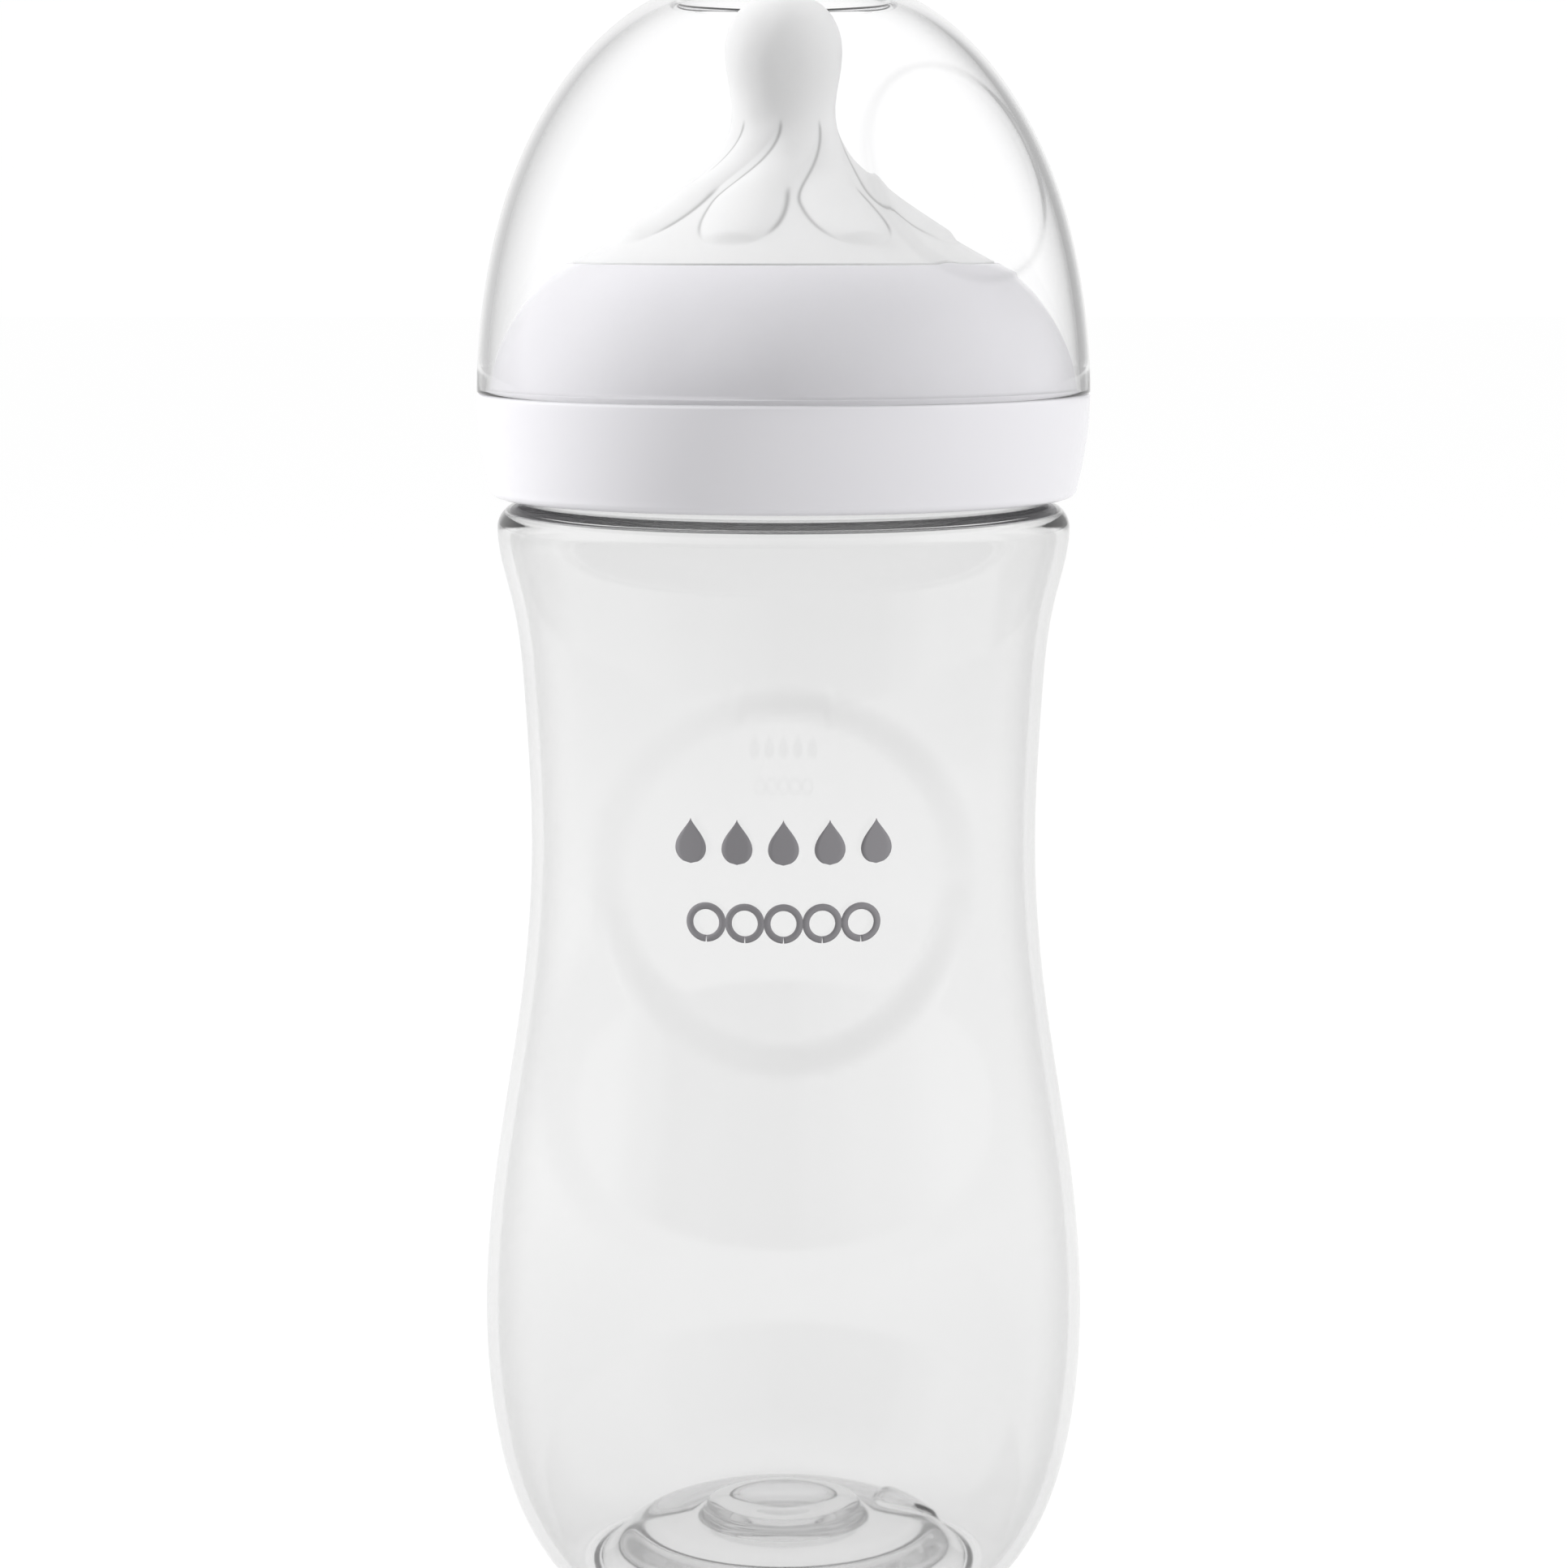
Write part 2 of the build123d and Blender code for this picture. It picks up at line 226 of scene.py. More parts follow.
def lathe(name, outline, segments, material, shape=None, painted_shade=None):
    """Turn an outline about Z. It is drawn so that the solid lies to its left, and either
    starts and ends on the axis or closes on itself. `shape` moves the points afterwards,
    and the last argument gives each point a painted-shade number that the material reads."""
    ends_on_axis = outline[0][0] < 1e-6
    rows = outline[1:-1] if ends_on_axis else outline
    count = len(rows)
    angles = np.arange(segments) * 2 * pi / segments
    ring = np.stack([np.cos(angles), np.sin(angles)], axis=1)
    points = np.empty((count, segments, 3))
    points[:, :, :2] = rows[:, None, :1] * ring[None]
    points[:, :, 2] = rows[:, None, 1]
    points = points.reshape(-1, 3)
    if ends_on_axis:
        poles = np.array([[0, 0, outline[0][1]], [0, 0, outline[-1][1]]])
        points = np.vstack([points, poles])
    painted_shade_values = painted_shade(points) if painted_shade else None
    if shape:
        points = shape(points)
    index = np.arange(count * segments).reshape(count, segments)
    turned = np.roll(index, -1, axis=1)
    if ends_on_axis:
        lower, upper = index[:-1], index[1:]
        lower_next, upper_next = turned[:-1], turned[1:]
    else:
        lower, upper = index, np.roll(index, -1, axis=0)
        lower_next, upper_next = turned, np.roll(turned, -1, axis=0)
    quads = np.stack([lower, lower_next, upper_next, upper], axis=2).reshape(-1, 4).tolist()
    if ends_on_axis:
        first, last = count * segments, count * segments + 1
        quads += [[first, turned[0, i], index[0, i]] for i in range(segments)]
        quads += [[last, index[-1, i], turned[-1, i]] for i in range(segments)]
    obj = make_object(name, points, quads, material)
    # store the painted-shade numbers on the mesh for the material to darken its colour by
    if painted_shade:
        attribute = obj.data.attributes.new("painted_shade", "FLOAT", "POINT")
        attribute.data.foreach_set("value", painted_shade_values.astype(np.float32))
    return obj


def move_out(points, amount):
    """Move points straight away from the axis."""
    radius = np.maximum(np.hypot(points[:, 0], points[:, 1]), 1e-9)
    scale = 1 + amount / radius
    return np.column_stack([points[:, 0] * scale, points[:, 1] * scale, points[:, 2]])


def thread_height(points, which):
    """How far a helical ridge stands off its wall at each point."""
    angle = np.degrees(np.arctan2(points[:, 1], points[:, 0]))
    start, turns = THREAD_ANGLE[which], THREAD_TURNS[which]
    end = start + 360 * turns
    height = np.zeros(len(points))
    for turn in range(3):
        along = angle + 360 * turn
        off = np.abs(points[:, 2] - (THREAD_START[which] + LEAD * along / 360))
        ridge = np.clip((THREAD_ROOT / 2 - off) / ((THREAD_ROOT - THREAD_CREST) / 2), 0, 1)
        begun = smoothstep(start, start + THREAD_FADE, along)
        ends = begun * (1 - smoothstep(end - THREAD_FADE, end, along))
        height = np.maximum(height, ridge * ends * THREAD_DEPTH)
    return height


# ======================= materials =======================

def new_material(name, colour, roughness, ior, transmission=0.0):
    """A Principled material, with its nodes, for the finishes below to add to."""
    material = bpy.data.materials.new(name)
    material.use_nodes = True
    shader = material.node_tree.nodes["Principled BSDF"]
    shader.inputs["Base Color"].default_value = (*colour, 1)
    shader.inputs["Roughness"].default_value = roughness
    shader.inputs["IOR"].default_value = ior
    shader.inputs["Transmission Weight"].default_value = transmission
    return material, shader


def add_noise(material, scale, detail=2.0):
    """A noise texture in the object's own space. Its scale is in bumps per metre."""
    nodes, links = material.node_tree.nodes, material.node_tree.links
    place = nodes.new("ShaderNodeTexCoord")
    noise = nodes.new("ShaderNodeTexNoise")
    noise.inputs["Scale"].default_value = scale
    noise.inputs["Detail"].default_value = detail
    links.new(place.outputs["Object"], noise.inputs["Vector"])
    return noise.outputs["Fac"]


def vary(material, shader, socket, scale, low, high):
    """Let an input of the shader wander between two values."""
    nodes, links = material.node_tree.nodes, material.node_tree.links
    span = nodes.new("ShaderNodeMapRange")
    span.inputs["From Min"].default_value = 0.3
    span.inputs["From Max"].default_value = 0.7
    span.inputs["To Min"].default_value = low
    span.inputs["To Max"].default_value = high
    links.new(add_noise(material, scale), span.inputs["Value"])
    links.new(span.outputs["Result"], shader.inputs[socket])


def ripple(material, shader, scale, height_mm):
    """A faint unevenness of the moulded surface."""
    nodes, links = material.node_tree.nodes, material.node_tree.links
    bump = nodes.new("ShaderNodeBump")
    bump.inputs["Strength"].default_value = 1.0
    bump.inputs["Distance"].default_value = height_mm * MM
    links.new(add_noise(material, scale), bump.inputs["Height"])
    links.new(bump.outputs["Normal"], shader.inputs["Normal"])


def clear_plastic(name, colour, ior, roughness, density, edge):
    """Clear moulded plastic. Light from lamps passes through it.

    `density` is how much light its wall soaks up, and `edge` how much painted shade dims its colour
    where seen edge-on.
    """
    material, shader = new_material(name, colour, roughness, ior, transmission=1.0)
    vary(material, shader, "Roughness", 40, roughness * 0.6, roughness * 1.4)
    ripple(material, shader, 40, 0.006)
    nodes, links = material.node_tree.nodes, material.node_tree.links
    output = nodes["Material Output"]
    if density:
        soak = nodes.new("ShaderNodeVolumeAbsorption")
        soak.inputs["Color"].default_value = (0.5, 0.5, 0.5, 1)
        soak.inputs["Density"].default_value = density
        links.new(soak.outputs["Volume"], output.inputs["Volume"])
    # painted shade: the mesh's shade numbers darken the plastic's colour to 0.9 of itself
    shade = nodes.new("ShaderNodeAttribute")
    shade.attribute_name = "painted_shade"
    shade_mix = nodes.new("ShaderNodeMix")
    shade_mix.data_type = "RGBA"
    links.new(shade.outputs["Fac"], shade_mix.inputs["Factor"])
    shade_mix.inputs["A"].default_value = (*colour, 1)
    shade_mix.inputs["B"].default_value = (*[c * 0.9 for c in colour], 1)
    # painted shade: the colour falls to `edge` times itself where the wall is seen edge-on
    facing = nodes.new("ShaderNodeLayerWeight")
    grazing = nodes.new("ShaderNodeMapRange")
    grazing.interpolation_type = "SMOOTHSTEP"
    grazing.inputs["From Min"].default_value = 0.5
    grazing.inputs["From Max"].default_value = 0.95
    links.new(facing.outputs["Facing"], grazing.inputs["Value"])
    edge_shade_mix = nodes.new("ShaderNodeMix")
    edge_shade_mix.data_type = "RGBA"
    links.new(grazing.outputs["Result"], edge_shade_mix.inputs["Factor"])
    links.new(shade_mix.outputs["Result"], edge_shade_mix.inputs["A"])
    edge_shade_mix.inputs["B"].default_value = (*[c * edge for c in colour], 1)
    links.new(edge_shade_mix.outputs["Result"], shader.inputs["Base Color"])
    path = nodes.new("ShaderNodeLightPath")
    passing = nodes.new("ShaderNodeBsdfTransparent")
    passing.inputs["Color"].default_value = (0.93, 0.93, 0.93, 1)
    mix = nodes.new("ShaderNodeMixShader")
    links.new(path.outputs["Is Shadow Ray"], mix.inputs["Fac"])
    links.new(shader.outputs["BSDF"], mix.inputs[1])
    links.new(passing.outputs["BSDF"], mix.inputs[2])
    links.new(mix.outputs["Shader"], output.inputs["Surface"])
    return material


def white_plastic(name):
    """Semi-gloss white plastic that light enters a little, with a faint painted glow."""
    material, shader = new_material(name, (0.56, 0.554, 0.576), 0.16, 1.5)
    vary(material, shader, "Roughness", 900, 0.19, 0.26)
    ripple(material, shader, 1800, 0.003)
    shader.inputs["Subsurface Weight"].default_value = 0.15
    shader.inputs["Subsurface Radius"].default_value = (1, 1, 1)
    shader.inputs["Subsurface Scale"].default_value = 1.0 * MM
    # painted light: a faint glow brightens the ring where it lies in shade
    shader.inputs["Emission Color"].default_value = (0.97, 0.96, 1, 1)
    shader.inputs["Emission Strength"].default_value = 0.03
    return material


def silicone(name):
    """Milky satin silicone, with painted shade making it darker in its creases."""
    material, shader = new_material(name, (0.9, 0.9, 0.9), 0.35, 1.41, transmission=0.3)
    shader.inputs["Subsurface Weight"].default_value = 0.3
    shader.inputs["Subsurface Radius"].default_value = (1, 1, 1)
    shader.inputs["Subsurface Scale"].default_value = 0.6 * MM
    vary(material, shader, "Roughness", 700, 0.3, 0.4)
    ripple(material, shader, 1500, 0.004)
    nodes, links = material.node_tree.nodes, material.node_tree.links
    # painted shade: the crease numbers darken the silicone from 0.775 to 0.44
    crease_shade = nodes.new("ShaderNodeAttribute")
    crease_shade.attribute_name = "painted_shade"
    painted_shade = nodes.new("ShaderNodeMix")
    painted_shade.data_type = "RGBA"
    links.new(crease_shade.outputs["Fac"], painted_shade.inputs["Factor"])
    painted_shade.inputs["A"].default_value = (0.775, 0.775, 0.775, 1)
    painted_shade.inputs["B"].default_value = (0.44, 0.44, 0.44, 1)
    links.new(painted_shade.outputs["Result"], shader.inputs["Base Color"])
    return material


def print_ink(name):
    """Matt grey print."""
    material, shader = new_material(name, (0.18, 0.175, 0.185), 0.45, 1.5)
    vary(material, shader, "Roughness", 3000, 0.4, 0.5)
    return material


# ======================= pieces =======================

def neck_outline(depth):
    """Shoulder and neck, `depth` in from the outer surface, up to the rim's rounding."""
    middle = SHOULDER_RADIUS - SHOULDER_ROUND
    turn = INNER_SHOULDER_ROUND if depth else SHOULDER_ROUND
    shoulder = arc((SHOULDER_RADIUS - depth - turn, SHOULDER_TOP - depth - turn), turn, 0, 90, 14)
    bend = arc((middle, SHOULDER_TOP + NECK_FILLET), NECK_FILLET + depth, 270, 180, 8)
    neck = line(bend[-1], (NECK_RADIUS - depth, RIM_HEIGHT - RIM_ROUND), 0.15)
    return chain(shoulder, bend, neck)


def body_curve():
    top = (SHOULDER_RADIUS, SHOULDER_TOP - SHOULDER_ROUND)
    return flow([(STAND_OUTER, 0), *BODY_SIDE, top], (1, 0.3), (0, 1))


def shape_bottle(points):
    """Press the front dish in, raise the thread on the neck and the small mark on the base."""
    x, y, z = points.T
    from_centre = np.hypot(x, z - DISH_HEIGHT)
    pressed = (1 - smoothstep(DISH_FLOOR_RADIUS, DISH_RIM_RADIUS, from_centre)) * (y < 0) * DISH_DEPTH
    radius = np.hypot(x, y)
    on_neck = (np.abs(radius - NECK_RADIUS) < 1e-3) & (z > SHOULDER_TOP)
    raised = thread_height(points, "neck") * on_neck
    on_floor = (radius < STAND_INNER) & (z > PUSH_UP_BEND[1] + FLOOR / 2)
    from_gate = np.hypot(x - GATE_PLACE[0], y - GATE_PLACE[1])
    lifted = GATE_HEIGHT * (1 - smoothstep(GATE_RADIUS - 1, GATE_RADIUS, from_gate)) * on_floor
    points = move_out(points, raised - pressed)
    points[:, 2] += lifted
    return points


def painted_shade_bottle(points):
    """Painted shade: darker on the slope round the dish, most of all above and below it.

    The painted shade deepens slightly towards the base too.
    """
    x, y, z = points.T
    from_centre = np.hypot(x, z - DISH_HEIGHT)
    share = np.clip((from_centre - DISH_FLOOR_RADIUS) / (DISH_RIM_RADIUS - DISH_FLOOR_RADIUS), 0, 1)
    upright = np.abs(z - DISH_HEIGHT) / np.maximum(from_centre, 1e-6)
    # painted shade: strongest on the right-hand slope above and below the dish, and darker again
    # towards the base
    slope = 4 * share * (1 - share) * (0.25 + 0.75 * upright * smoothstep(-16, 6, x)) * (y < 0)
    return slope + 0.35 * (1 - smoothstep(12, 52, z))


def make_bottle(material):
    rim_start = RIM_HEIGHT - RIM_ROUND
    side = body_curve()
    inner_side = inset(side, BOTTLE_WALL)
    under = flow([(STAND_INNER, 0), PUSH_UP_BEND, (BOSS_RADIUS, PUSH_UP)], (-0.6, 1), (-1, 0), 0.5)
    floor_edge = (BOSS_RADIUS + BOSS_HEIGHT, PUSH_UP + FLOOR)
    floor_bend = (PUSH_UP_BEND[0], PUSH_UP_BEND[1] + FLOOR)
    floor = flow([floor_edge, floor_bend, inner_side[0]], (1, 0), inner_side[1] - inner_side[0], 0.4)
    boss_top = PUSH_UP + FLOOR + BOSS_HEIGHT
    boss_side = arc((floor_edge[0], boss_top), BOSS_HEIGHT, 180, 270, 10)
    dimple = flow([(BOSS_RADIUS, boss_top), (0, boss_top - BOSS_DIMPLE)], (-1, 0.4), (-1, 0), 0.4)
    outline = chain(
        [(0, PUSH_UP)], line((0.5, PUSH_UP), (BOSS_RADIUS, PUSH_UP)), under[::-1],
        side, neck_outline(0), arc((NECK_RADIUS - RIM_ROUND, rim_start), RIM_ROUND, 0, 90, 6),
        arc((NECK_RADIUS - BOTTLE_WALL + RIM_ROUND, rim_start), RIM_ROUND, 90, 180, 6),
        neck_outline(BOTTLE_WALL)[::-1], inner_side[::-1],
        floor[::-1], boss_side[::-1], dimple,
    )
    return lathe("bottle_shell", outline, 288, material, shape_bottle, painted_shade_bottle)


def shape_ring(points):
    """Raise the thread in the bore."""
    radius = np.hypot(points[:, 0], points[:, 1])
    return move_out(points, -thread_height(points, "ring") * (np.abs(radius - RING_BORE) < 1e-3))


def make_ring(material):
    foot = (RING_BOTTOM_RADIUS - RING_BOTTOM_ROUND, RING_BOTTOM + RING_BOTTOM_ROUND)
    band = flow([(RING_BOTTOM_RADIUS, RING_BOTTOM + RING_BOTTOM_ROUND), RING_BAND_MIDDLE,
                 (RING_RADIUS, LEDGE_HEIGHT - LEDGE_ROUND)], (0.25, 1), (0, 1), 0.5)
    inner_radius = DOME_RADIUS - DOME_WALL
    collar_angle = degrees_up(DOME_RADIUS, COLLAR_TOP)
    dome = arc(DOME_CENTRE, DOME_RADIUS, collar_angle, DOME_END_ANGLE - 0.8, 48)
    bore_top = DOME_CENTRE[1] + sqrt(inner_radius ** 2 - (RING_BORE - DOME_CENTRE[0]) ** 2)
    under_end = degrees_up(inner_radius, bore_top)
    under = arc(DOME_CENTRE, inner_radius, DOME_END_ANGLE - 0.6, under_end, 40)
    middle_radius = (DOME_RADIUS + inner_radius) / 2
    edge_middle = arc(DOME_CENTRE, middle_radius, DOME_END_ANGLE, DOME_END_ANGLE, 1)[0]
    edge = flow([dome[-1], edge_middle + unit((-0.8, 0.6)) * 0.02, under[0]], dome[-1] - dome[-2],
                under[1] - under[0], 0.12)
    outline = chain(
        line((RING_BORE + 0.3, RING_BOTTOM), (foot[0], RING_BOTTOM), 0.5),
        arc(foot, RING_BOTTOM_ROUND, -90, 0, 8),
        band,
        arc((RING_RADIUS - LEDGE_ROUND, LEDGE_HEIGHT - LEDGE_ROUND), LEDGE_ROUND, 0, 90, 6),
        line((RING_RADIUS - LEDGE_ROUND, LEDGE_HEIGHT), (COLLAR_RADIUS, LEDGE_HEIGHT), 0.3),
        line((COLLAR_RADIUS, LEDGE_HEIGHT), (COLLAR_RADIUS, COLLAR_TOP - 0.15), 0.3),
        arc((COLLAR_RADIUS - 0.15, COLLAR_TOP - 0.15), 0.15, 0, 90, 4),
        dome, edge, under,
        line((RING_BORE, bore_top), (RING_BORE, RING_BOTTOM + 0.3), 0.15),
        [(RING_BORE + 0.09, RING_BOTTOM + 0.09)],
    )
    return lathe("screw_ring_shell", outline, 256, material, shape_ring)


def degrees_up(radius, height):
    """The angle at which an arc about the dome's centre reaches a height."""
    return np.degrees(np.arcsin((height - DOME_CENTRE[1]) / radius))


def petal_edges(z):
    """Azimuths of one petal's left and right edges at each height, in degrees from the front."""
    left = PETAL_LEFT[0] + PETAL_LEFT[1] * smoothstep(161.0, 169.8, z)
    right = PETAL_RIGHT[0] + PETAL_RIGHT[1] * smoothstep(162.0, 170.5, z)
    below = (PETAL_END[0] - np.minimum(z, PETAL_END[0])) / PETAL_END[1]
    end = np.sqrt(np.clip(1 - below ** 2, 1e-6, 1))
    return PETAL_MIDDLE + (left - PETAL_MIDDLE) * end, PETAL_MIDDLE + (right - PETAL_MIDDLE) * end


def on_teat_outside(points):
    radius = np.hypot(points[:, 0], points[:, 1])
    outside = np.interp(points[:, 2], TEAT_OUTSIDE[:, 1], TEAT_OUTSIDE[:, 0])
    return (np.abs(radius - outside) < 0.4) & (points[:, 2] > 155) & (points[:, 2] < 171.5)


def petal_place(points):
    """Where each point lies across its petal, from 0 at the left edge to 1 at the right.

    The second value is the petal's width there, in degrees.
    """
    left, right = petal_edges(points[:, 2])
    azimuth = np.degrees(np.arctan2(points[:, 0], -points[:, 1]))
    return (azimuth - left) % (360 / PETALS) / (right - left), right - left


def shape_petals(points):
    """Raise the petals on the teat's cone. Each one's left edge sweeps up to the neck as a crease."""
    z = points[:, 2]
    share, _ = petal_place(points)
    crown = np.where(share < 1, 1 - np.abs(2 * np.clip(share, 0, 1) - 1) ** 2, 0)
    thinning = (1 - 0.72 * smoothstep(161.5, 166.5, z)) * (1 - smoothstep(167.5, 170.3, z))
    rise = smoothstep(156.4, 157.4, z) * thinning
    height = crown * rise * PETAL_BULGE * on_teat_outside(points)
    slope = np.interp(z, TEAT_OUTSIDE[:, 1], OUTSIDE_SLOPE)
    points = move_out(points, height * np.cos(slope))
    points[:, 2] += height * np.sin(slope)
    return points


def painted_crease_shade(points):
    """How near a crease each point lies, as painted shade from 0 to 1.

    The painted crease shade runs along the petals' edges and round their lower ends.
    """
    z = points[:, 2]
    share, width = petal_place(points)
    reach = np.radians(width) * np.hypot(points[:, 0], points[:, 1])
    from_left = np.abs(np.where(share > 1, share - 360 / PETALS / width, share)) * reach
    from_left = np.minimum(from_left, np.abs(share) * reach)
    from_right = np.abs(share - 1) * reach
    left_span = smoothstep(156.6, 158.5, z) * (1 - smoothstep(169.3, 170.6, z))
    right_span = smoothstep(157.2, 158.6, z) * (1 - smoothstep(161.8, 163.2, z))
    left_line = np.exp(-(from_left / 0.2) ** 2) * left_span
    right_line = np.exp(-(from_right / 0.28) ** 2) * right_span
    return np.maximum(left_line, right_line) * on_teat_outside(points)


TEAT_OUTSIDE = flow([TEAT_LIP, *TEAT_SIDE, (0, TEAT_TIP)], (-1, 0.5), (-1, 0), 0.25)
OUTSIDE_SLOPE = np.arctan2(-np.gradient(TEAT_OUTSIDE[:, 0]), np.gradient(TEAT_OUTSIDE[:, 1]))


def make_teat(material):
    skirt_radius = DOME_RADIUS - DOME_WALL - FIT
    start = degrees_up(skirt_radius, FLANGE_HEIGHT)
    skirt = arc(DOME_CENTRE, skirt_radius, start, TEAT_GROOVE_ANGLE, 30)
    lining_radius = skirt_radius - TEAT_WALL
    lining_end = degrees_up(lining_radius, FLANGE_HEIGHT)
    lining = arc(DOME_CENTRE, lining_radius, DOME_END_ANGLE, lining_end, 30)
    inside = inset(TEAT_OUTSIDE, TEAT_WALL)
    hole = FEED_HOLE / 2
    outer = TEAT_OUTSIDE[TEAT_OUTSIDE[:, 0] > hole + 0.05]
    inner = inside[inside[:, 0] > hole + 0.05]
    outline = chain(
        line(lining[-1], skirt[0], 0.4)[:-1], skirt, line(skirt[-1], TEAT_LIP, 0.3), outer,
        [(hole, TEAT_TIP - 0.02), (hole, inside[-1, 1])], inner[::-1], lining,
    )
    return lathe("teat_moulding", outline[:-1], 560, material, shape_petals, painted_crease_shade)


def panel_place(points):
    """How far each point lies from the middle of the cap's round panel, and the way the panel faces."""
    azimuth, tilt = radians(CAP_DISC_AZIMUTH), radians(CAP_DISC_TILT)
    out = np.array([sin(azimuth) * cos(tilt), -cos(azimuth) * cos(tilt), sin(tilt)])
    centre = np.array([sin(azimuth) * CAP_SIDE[1][0], -cos(azimuth) * CAP_SIDE[1][0], CAP_DISC_HEIGHT])
    offset = points - centre
    along = offset @ out
    across = np.linalg.norm(offset - along[:, None] * out, axis=1)
    return np.where(along > -CAP_DISC_RADIUS, across, 99.0), out


def shape_cap(points):
    """Press the round panel into the side of the cap."""
    across, out = panel_place(points)
    radius = np.hypot(points[:, 0], points[:, 1])
    wall = np.interp(points[:, 2], CAP_OUTSIDE[:, 1], CAP_OUTSIDE[:, 0])
    on_outside = np.abs(radius - wall) < 0.3
    pressed = (1 - smoothstep(CAP_DISC_RADIUS - CAP_DISC_SLOPE, CAP_DISC_RADIUS, across)) * on_outside
    return points - pressed[:, None] * CAP_DISC_DEPTH * out


def painted_panel_shade(points):
    """The step round the panel shows as a fine grey ring of painted shade."""
    across, _ = panel_place(points)
    middle = CAP_DISC_RADIUS - CAP_DISC_SLOPE / 2
    return np.exp(-((across - middle) / 0.45) ** 2)


CAP_OUTSIDE = flow([(RING_RADIUS, CAP_BOTTOM), *CAP_SIDE, (0, CAP_TOP)], (0, 1), (-1, 0), 0.35)


def make_cap(material):
    inside = inset(CAP_OUTSIDE, CAP_WALL)
    inside = inside[inside[:, 1] > CAP_BOTTOM + 2.3 * CAP_RELIEF]
    wide = COLLAR_RADIUS + 2 * FIT
    rib_in, rib_out = CAP_RIB_RADIUS - CAP_RIB_WIDTH / 2, CAP_RIB_RADIUS + CAP_RIB_WIDTH / 2
    below = inside[inside[:, 0] > rib_out + 0.15]
    above = inside[inside[:, 0] < rib_in - 0.15]
    foot = below[-1, 1] - CAP_RIB_DROP
    rib = chain([(rib_out, below[-1, 1] + 0.05)],
                arc(((rib_in + rib_out) / 2, foot + 0.3), CAP_RIB_WIDTH / 2, 0, -180, 8),
                [(rib_in, above[0, 1] - 0.05)])
    outline = chain(
        [(0, CAP_TOP)],
        CAP_OUTSIDE[::-1][1:-1],
        [(RING_RADIUS, CAP_BOTTOM + 0.15), (RING_RADIUS - 0.15, CAP_BOTTOM)],
        line((wide + 0.15, CAP_BOTTOM), (wide, CAP_BOTTOM + 0.15), 0.3),
        line((wide, CAP_BOTTOM + 0.15), below[0], 0.3)[:-1],
        below, rib, above,
        [(0, CAP_TOP - CAP_WALL)],
    )
    return lathe("dome_cap_shell", outline[::-1], 448, material, shape_cap, painted_panel_shade)


# ======================= printed mark =======================

INK_THICKNESS = 0.03
INK_GAP = 0.012
DROP_ROW, DROP_SPACING, DROP_SIZE = 91.8, 5.1, 5.0
RING_ROW, RING_SPACING, RING_SIZE = 82.85, 4.25, 1.8
RING_HALF_LINE = 0.38
BODY_RADII = body_curve()


def on_front(x, z, off):
    """The point of the bottle's pressed front that lies at x and z, `off` outside its surface."""
    radius = np.interp(z, BODY_RADII[:, 1], BODY_RADII[:, 0])
    from_centre = np.hypot(x, z - DISH_HEIGHT)
    pressed = (1 - smoothstep(DISH_FLOOR_RADIUS, DISH_RIM_RADIUS, from_centre)) * DISH_DEPTH
    reach = radius - pressed + off
    return np.column_stack([x, -np.sqrt(reach ** 2 - x ** 2), z])


def strip(path, half_width, steps_across=4):
    """A grid of points along a flat path, as wide as half_width says at each point."""
    path = np.array(path, float)
    along = np.gradient(path, axis=0)
    along /= np.maximum(np.linalg.norm(along, axis=1)[:, None], 1e-9)
    side = np.stack([-along[:, 1], along[:, 0]], axis=1)
    across = np.linspace(-1, 1, steps_across + 1)
    reach = np.asarray(half_width)[:, None, None] * across[None, :, None]
    return path[:, None, :] + side[:, None, :] * reach


def ink_patch(grid, vertices, faces):
    """Lay a grid of flat points on the bottle as a thin closed film of ink."""
    rows, columns = grid.shape[:2]
    flat = grid.reshape(-1, 2)
    base = sum(len(v) for v in vertices)
    vertices.append(on_front(flat[:, 0], flat[:, 1], INK_GAP + INK_THICKNESS))
    vertices.append(on_front(flat[:, 0], flat[:, 1], INK_GAP))
    top = np.arange(rows * columns).reshape(rows, columns) + base
    under = top + rows * columns
    for r in range(rows - 1):
        for c in range(columns - 1):
            faces.append([top[r, c], top[r + 1, c], top[r + 1, c + 1], top[r, c + 1]])
            faces.append([under[r, c], under[r, c + 1], under[r + 1, c + 1], under[r + 1, c]])
    edge = [*top[0], *top[1:, -1], *top[-1, -2::-1], *top[-2:0:-1, 0]]
    lower = [*under[0], *under[1:, -1], *under[-1, -2::-1], *under[-2:0:-1, 0]]
    for i in range(len(edge)):
        j = (i + 1) % len(edge)
        faces.append([edge[i], edge[j], lower[j], lower[i]])


def drop_shape(x, z, height):
    """A drop with its point up."""
    t = np.linspace(0, 1, 25)
    path = np.column_stack([np.full(25, x), z + height * (t - 0.5)])
    round_part = 0.34 * height
    bottom = np.sqrt(np.clip(round_part ** 2 - (t * height - round_part) ** 2, 0, None))
    upper = round_part * np.cos((t * height - round_part) / (height - round_part) * pi / 2) ** 1.3
    width = np.where(t * height < round_part, bottom, np.maximum(upper, 0))
    return strip(path, np.maximum(width, 0.02), 6)


def ring_shape(x, z, radius, half_width):
    """An open ring, closed but for a hairline at its foot."""
    turn = np.radians(np.linspace(-89, 269, 41))
    path = np.column_stack([x + radius * np.cos(turn), z + radius * np.sin(turn)])
    return strip(path, np.full(len(path), half_width), 2)


